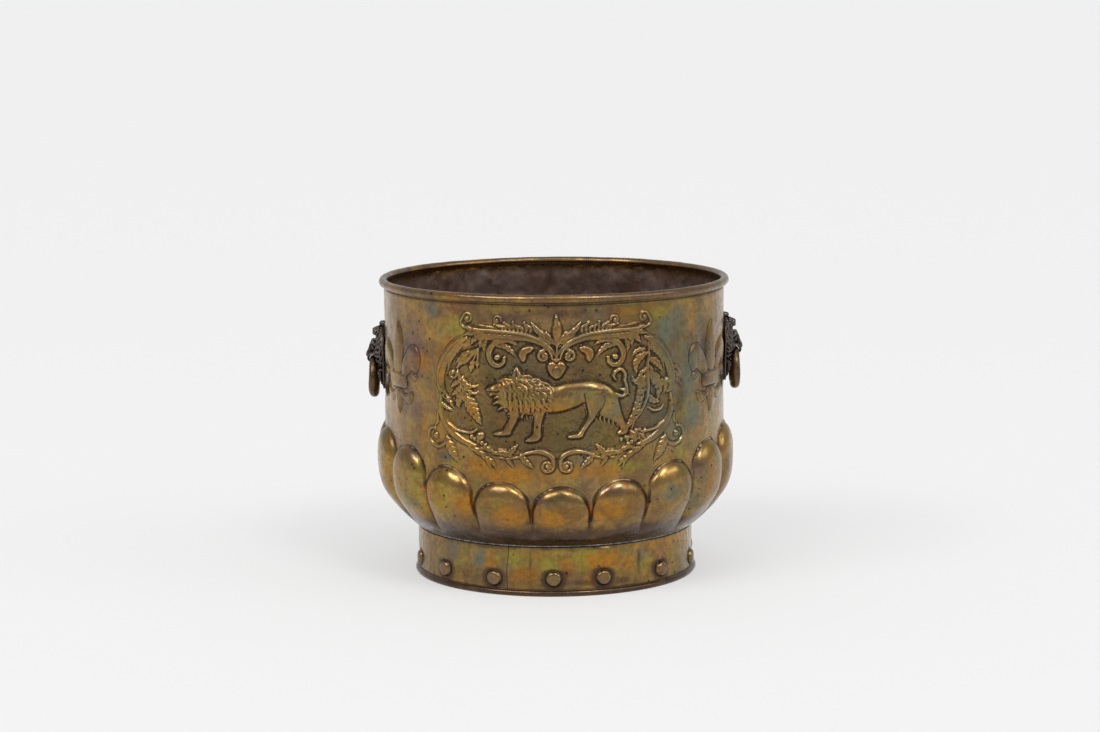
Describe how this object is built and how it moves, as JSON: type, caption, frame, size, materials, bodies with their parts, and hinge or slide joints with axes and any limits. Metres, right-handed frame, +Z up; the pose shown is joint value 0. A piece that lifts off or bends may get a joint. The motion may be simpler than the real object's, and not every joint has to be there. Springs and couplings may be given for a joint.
{
  "type": "brass planter pot",
  "caption": "Round gadrooned brass planter pot on a banded foot, with lion masks that hold swinging rings; holds a plant pot inside.",
  "frame": {"origin": "centre of the foot on the resting plane, under the pot's axis", "axes": "+Z up along the pot's axis, +X towards the right lion mask, -Y towards the front cartouche"},
  "size_m": [0.3596, 0.3358, 0.2828],
  "materials": {
    "wall_brass": "aged repousse brass with brown, green and purple patina",
    "foot_brass": "aged hammered brass with pale green patches",
    "floor_brass": "dark brown oxidised brass",
    "cast_mask": "cast brass, nearly black patina",
    "ring_brass": "cast brass, brown patina, rubbed bright where handled",
    "iron_wire": "drawn iron wire, sealed in the rolled edge",
    "solder": "dull soft solder",
    "fixing_steel": "tarnished steel"
  },
  "bodies": {
    "pot": {"body_wall": "wall_brass", "rim_wire": "iron_wire", "base_disc": "floor_brass", "base_solder": "solder", "foot_band": "foot_brass", "foot_wire": "iron_wire", "foot_solder": "solder", "left_mask": "cast_mask", "right_mask": "cast_mask", "left_mask_studs": "fixing_steel", "right_mask_studs": "fixing_steel", "left_mask_washers": "fixing_steel", "right_mask_washers": "fixing_steel", "left_mask_nuts": "fixing_steel", "right_mask_nuts": "fixing_steel"},
    "left_ring": {"left_ring": "ring_brass"},
    "right_ring": {"right_ring": "ring_brass"}
  },
  "joints": [
    {"name": "left_ring_swing", "type": "hinge", "parent": "pot", "child": "left_ring", "pos_m": [-0.1722, 0, 0.2035], "axis": [0, 1, 0], "range_deg": [-3, 115]},
    {"name": "right_ring_swing", "type": "hinge", "parent": "pot", "child": "right_ring", "pos_m": [0.1722, 0, 0.2095], "axis": [0, -1, 0], "range_deg": [-3, 115]}
  ]
}
